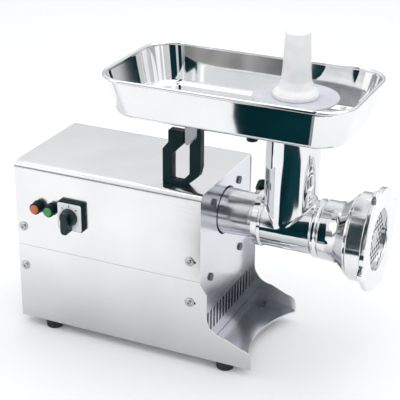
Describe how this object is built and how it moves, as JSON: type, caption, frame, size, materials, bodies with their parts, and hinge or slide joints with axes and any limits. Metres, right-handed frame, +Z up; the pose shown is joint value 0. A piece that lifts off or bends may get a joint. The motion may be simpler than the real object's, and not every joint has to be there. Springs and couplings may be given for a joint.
{
  "type": "electric meat grinder",
  "caption": "Bench-top electric meat grinder: sheet steel casing with geared motor, pull-off feed head with screw, knife and plate, loading tray and food pusher.",
  "frame": {"origin": "on the table plane, under the middle of the machine's box", "axes": "+X forward along the feed screw to the outlet, +Z up; the switch and buttons are on the -Y side"},
  "size_m": [0.552, 0.224, 0.5],
  "materials": {
    "casing_steel": "satin brushed",
    "polished_steel": "polished",
    "tray_steel": "bright rolled",
    "fastener_steel": "bright",
    "cutter_steel": "ground",
    "gear_steel": "machined",
    "bearing_steel": "ground",
    "gearbox_alloy": "cast",
    "motor_paint": "satin paint",
    "core_iron": "laminated",
    "copper": "enamelled wire",
    "bronze": "machined",
    "black_plastic": "fine grain",
    "black_knob": "gloss",
    "dark_electrics": "moulded",
    "foot_rubber": "matte",
    "stop_cap": "gloss",
    "start_cap": "gloss",
    "white_plastic": "semi gloss",
    "guard_plastic": "milky"
  },
  "bodies": {
    "base": {"base_pan": "casing_steel", "casing_cover": "casing_steel", "rear_panel": "casing_steel", "front_plate": "casing_steel", "front_apron": "casing_steel", "apron_screws": "fastener_steel", "rubber_feet": "foot_rubber", "foot_screws": "fastener_steel", "casing_screws": "fastener_steel", "front_plate_screws": "fastener_steel", "carry_handle": "black_plastic", "handle_screws": "fastener_steel", "tray_rest_plate": "casing_steel", "head_socket": "polished_steel", "socket_bolts": "fastener_steel", "gearbox_housing": "gearbox_alloy", "gearbox_cover": "gearbox_alloy", "gearbox_bolts": "fastener_steel", "motor_housing": "motor_paint", "motor_end_bell": "motor_paint", "motor_front_bell": "motor_paint", "motor_cradle": "motor_paint", "stator_core": "core_iron", "stator_windings": "copper", "motor_bearings": "bearing_steel", "fan_cowl": "motor_paint", "intermediate_bearings": "bearing_steel", "output_bearings": "bearing_steel", "shaft_seal": "foot_rubber", "switch_body": "dark_electrics", "switch_plate": "black_plastic", "button_collars": "black_plastic", "contactor": "dark_electrics", "start_capacitor": "dark_electrics", "cable_gland": "black_plastic"},
    "switch": {"switch_knob": "black_knob"},
    "stop": {"stop_button": "stop_cap"},
    "start": {"start_button": "start_cap"},
    "lock": {"lock_knob": "black_knob"},
    "rotor": {"rotor_core": "core_iron", "motor_shaft": "gear_steel", "motor_pinion": "gear_steel", "cooling_fan": "dark_electrics"},
    "intermediate": {"intermediate_shaft": "gear_steel", "intermediate_gear": "gear_steel", "intermediate_pinion": "gear_steel"},
    "output": {"output_gear": "gear_steel", "output_shaft": "gear_steel"},
    "head": {"barrel_head": "polished_steel", "screw_bush": "bronze", "plate_key_pin": "fastener_steel"},
    "feed": {"feed_screw": "cutter_steel", "knife": "cutter_steel"},
    "plate": {"grinding_plate": "cutter_steel"},
    "nut": {"ring_nut": "polished_steel"},
    "tray": {"tray": "tray_steel", "tray_stud": "black_plastic"},
    "pusher": {"pusher_handle": "white_plastic", "pusher_guard": "guard_plastic", "pusher_pestle": "white_plastic"}
  },
  "joints": [
    {"name": "switch_turn", "type": "hinge", "parent": "base", "child": "switch", "pos_m": [-0.1645, -0.1015, 0.2045], "axis": [0, 1, 0], "range_deg": [-45, 45]},
    {"name": "stop_press", "type": "slide", "parent": "base", "child": "stop", "axis": [0, 1, 0], "range_m": [0, 0.004], "stiffness_N_per_m": 400, "springref_m": -0.002},
    {"name": "start_press", "type": "slide", "parent": "base", "child": "start", "axis": [0, 1, 0], "range_m": [0, 0.004], "stiffness_N_per_m": 400, "springref_m": -0.002},
    {"name": "lock_turn", "type": "hinge", "parent": "base", "child": "lock", "pos_m": [0.083, 0.0085, 0.215], "axis": [0, 0.8192, 0.5736], "range_deg": [0, 360]},
    {"name": "rotor_spin", "type": "hinge", "parent": "base", "child": "rotor", "pos_m": [0, 0.0085, 0.109], "axis": [1, 0, 0], "continuous": true},
    {"name": "intermediate_spin", "type": "hinge", "parent": "base", "child": "intermediate", "pos_m": [0, 0.0085, 0.157], "axis": [1, 0, 0], "continuous": true},
    {"name": "output_spin", "type": "hinge", "parent": "base", "child": "output", "pos_m": [0, 0.0085, 0.215], "axis": [1, 0, 0], "continuous": true},
    {"name": "head_slide", "type": "slide", "parent": "base", "child": "head", "axis": [1, 0, 0], "range_m": [0, 0.06]},
    {"name": "feed_spin", "type": "hinge", "parent": "head", "child": "feed", "pos_m": [0, 0.0085, 0.215], "axis": [1, 0, 0], "continuous": true},
    {"name": "plate_slide", "type": "slide", "parent": "head", "child": "plate", "axis": [1, 0, 0], "range_m": [0, 0.024]},
    {"name": "nut_turn", "type": "hinge", "parent": "plate", "child": "nut", "pos_m": [0.272, 0.0085, 0.215], "axis": [1, 0, 0], "range_deg": [0, 1440]},
    {"name": "tray_lift", "type": "slide", "parent": "head", "child": "tray", "axis": [0, 0, 1], "range_m": [0, 0.08]},
    {"name": "pusher_lift", "type": "slide", "parent": "tray", "child": "pusher", "axis": [0, 0, 1], "range_m": [0, 0.2]}
  ],
  "couplings": [
    {"joint": "intermediate_spin", "follows": "rotor_spin", "ratio": -0.28},
    {"joint": "output_spin", "follows": "rotor_spin", "ratio": 0.089091},
    {"joint": "feed_spin", "follows": "rotor_spin", "ratio": 0.089091},
    {"joint": "plate_slide", "follows": "nut_turn", "m_per_rad": 0.00095493}
  ]
}
